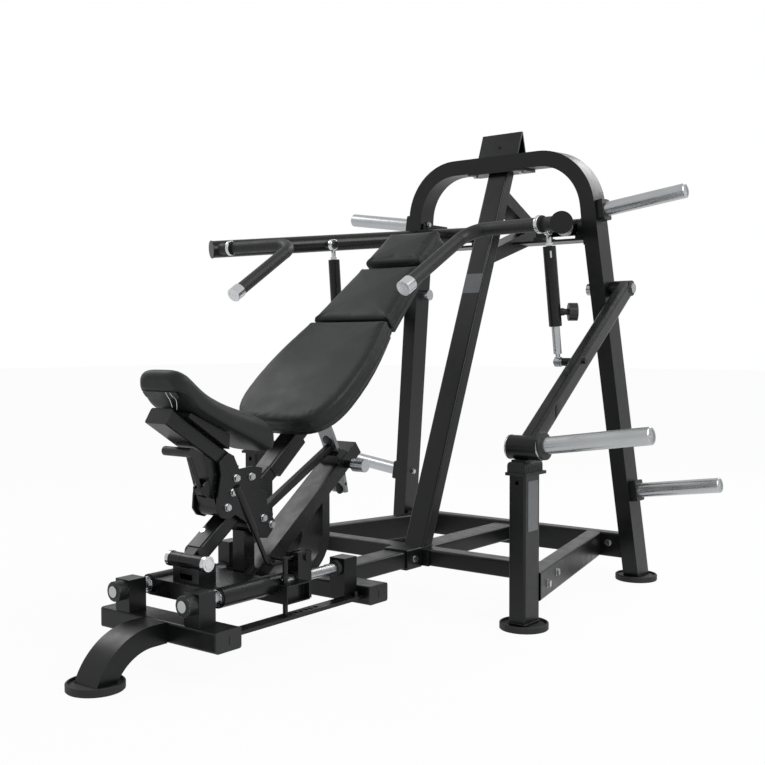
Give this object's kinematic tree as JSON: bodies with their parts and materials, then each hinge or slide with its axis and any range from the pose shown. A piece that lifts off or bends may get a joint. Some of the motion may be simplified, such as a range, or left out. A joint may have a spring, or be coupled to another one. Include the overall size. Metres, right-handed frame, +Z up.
{
  "type": "lever arm press machine",
  "caption": "Plate-loaded press machine: arch frame, sliding and tilting padded bench, two linked press arms with handles, loading levers and plate storage horns",
  "frame": {"origin": "on the floor under the middle of the machine", "axes": "+X to the right of someone who faces the frame from the bench end, +Y from the bench towards the arch, +Z up"},
  "size_m": [1.8696, 2.1245, 1.605],
  "materials": {
    "frame_paint": "satin black powder coat on welded steel tube",
    "moving_paint": "satin black powder coat on the moving steel",
    "chrome_bar": "bright chrome plating on horns, shafts and bolts",
    "zinc_strap": "plain zinc grey on the slotted strap",
    "black_plastic": "moulded black plastic with a fine grain",
    "foot_rubber": "dull black rubber",
    "grip_rubber": "smooth black grip rubber",
    "pad_vinyl": "black upholstery vinyl with a fine leather grain and a soft sheen"
  },
  "bodies": {
    "frame": {"arch": "frame_paint", "column": "frame_paint", "top_bracket": "frame_paint", "rear_bracket": "frame_paint", "pivot_plate": "frame_paint", "pillow_blocks": "black_plastic", "front_posts": "frame_paint", "stop_bumpers": "foot_rubber", "side_beams": "frame_paint", "rear_crossbar": "frame_paint", "base_beams": "frame_paint", "hub_bracket": "frame_paint", "rubber_feet": "foot_rubber", "storage_horns": "chrome_bar", "storage_collars": "frame_paint", "lever_pivots": "chrome_bar", "bench_crossbars": "frame_paint", "tube_caps": "black_plastic", "front_leg": "frame_paint", "rail_blocks": "frame_paint", "guide_shafts": "chrome_bar", "hole_bar": "frame_paint", "frame_bolts": "chrome_bar"},
    "carriage": {"carriage_frame": "moving_paint", "slide_sleeves": "moving_paint", "barrel_bracket": "moving_paint", "pivot_barrel": "moving_paint", "bench_strut": "moving_paint", "bench_prop": "moving_paint"},
    "release": {"release_rod": "moving_paint"},
    "plunger": {"lock_plunger": "moving_paint"},
    "bench": {"side_plates": "moving_paint", "plate_bolts": "chrome_bar", "bench_box": "moving_paint", "back_tube": "moving_paint", "sector_strap": "zinc_strap", "tie_bar": "moving_paint", "rest_bumper": "foot_rubber", "back_board": "black_plastic", "headrest_pad": "pad_vinyl", "upper_back_pad": "pad_vinyl", "lower_back_pad": "pad_vinyl"},
    "tilt_pin": {"pull_pin": "chrome_bar"},
    "seat": {"seat_frame": "moving_paint", "seat_pad": "pad_vinyl"},
    "seat_release": {"seat_lever": "grip_rubber"},
    "arm_left": {"arm_left": "moving_paint", "handle_left": "grip_rubber"},
    "lever_left": {"lever_left": "moving_paint", "weight_horn_left": "chrome_bar"},
    "link_left": {"link_tube_left": "moving_paint", "link_rod_left": "chrome_bar"},
    "knob_left": {"link_knob_left": "black_plastic"},
    "arm_right": {"arm_right": "moving_paint", "handle_right": "grip_rubber"},
    "lever_right": {"lever_right": "moving_paint", "weight_horn_right": "chrome_bar"},
    "link_right": {"link_tube_right": "moving_paint", "link_rod_right": "chrome_bar"},
    "knob_right": {"link_knob_right": "black_plastic"}
  },
  "joints": [
    {"name": "bench_slide", "type": "slide", "parent": "frame", "child": "carriage", "axis": [0, 1, 0], "range_m": [-0.02, 0.12]},
    {"name": "release_handle", "type": "hinge", "parent": "carriage", "child": "release", "pos_m": [0.13, -0.412, 0.246], "axis": [-1, 0, 0], "range_deg": [0, 9.5]},
    {"name": "lock_slide", "type": "slide", "parent": "carriage", "child": "plunger", "axis": [0, 0, 1], "range_m": [0, 0.018]},
    {"name": "bench_tilt", "type": "hinge", "parent": "carriage", "child": "bench", "pos_m": [0, -0.698, 0.262], "axis": [1, 0, 0], "range_deg": [0, 9]},
    {"name": "pin_pull", "type": "slide", "parent": "carriage", "child": "tilt_pin", "axis": [1, 0, 0], "range_m": [0, 0.012], "stiffness_N_per_m": 900, "springref_m": -0.012},
    {"name": "seat_tilt", "type": "hinge", "parent": "bench", "child": "seat", "pos_m": [0, -0.606, 0.396], "axis": [1, 0, 0], "range_deg": [0, 10]},
    {"name": "seat_release", "type": "hinge", "parent": "seat", "child": "seat_release", "pos_m": [0.014, -0.668, 0.444], "axis": [1, 0, 0], "range_deg": [0, 12], "stiffness_Nm_per_rad": 2, "springref_deg": -17.19},
    {"name": "press_arm_left", "type": "hinge", "parent": "frame", "child": "arm_left", "pos_m": [-0.22, 0.935, 1.25], "axis": [-1, 0, 0], "range_deg": [0, 40]},
    {"name": "weight_lever_left", "type": "hinge", "parent": "frame", "child": "lever_left", "pos_m": [-0.465, 0.88, 1.02], "axis": [-1, 0, 0], "range_deg": [0, 44.5]},
    {"name": "link_left", "type": "hinge", "parent": "arm_left", "child": "link_left", "pos_m": [-0.443, 0.408, 1.19], "axis": [1, 0, 0], "range_deg": [0, 21]},
    {"name": "knob_pull_left", "type": "slide", "parent": "link_left", "child": "knob_left", "axis": [-0.788, 0.6157, 0], "range_m": [0, 0.01], "stiffness_N_per_m": 700, "springref_m": -0.012},
    {"name": "press_arm_right", "type": "hinge", "parent": "frame", "child": "arm_right", "pos_m": [0.22, 0.935, 1.25], "axis": [-1, 0, 0], "range_deg": [0, 40]},
    {"name": "weight_lever_right", "type": "hinge", "parent": "frame", "child": "lever_right", "pos_m": [0.465, 0.88, 1.02], "axis": [-1, 0, 0], "range_deg": [0, 44.5]},
    {"name": "link_right", "type": "hinge", "parent": "arm_right", "child": "link_right", "pos_m": [0.443, 0.408, 1.19], "axis": [1, 0, 0], "range_deg": [0, 21]},
    {"name": "knob_pull_right", "type": "slide", "parent": "link_right", "child": "knob_right", "axis": [0.788, 0.6157, 0], "range_m": [0, 0.01], "stiffness_N_per_m": 700, "springref_m": -0.012}
  ],
  "couplings": [
    {"joint": "lock_slide", "follows": "release_handle", "m_per_rad": 0.098},
    {"joint": "weight_lever_left", "follows": "press_arm_left", "ratio": 1.1037},
    {"joint": "link_left", "follows": "press_arm_left", "ratio": 0.5147},
    {"joint": "weight_lever_right", "follows": "press_arm_right", "ratio": 1.1037},
    {"joint": "link_right", "follows": "press_arm_right", "ratio": 0.5147}
  ]
}
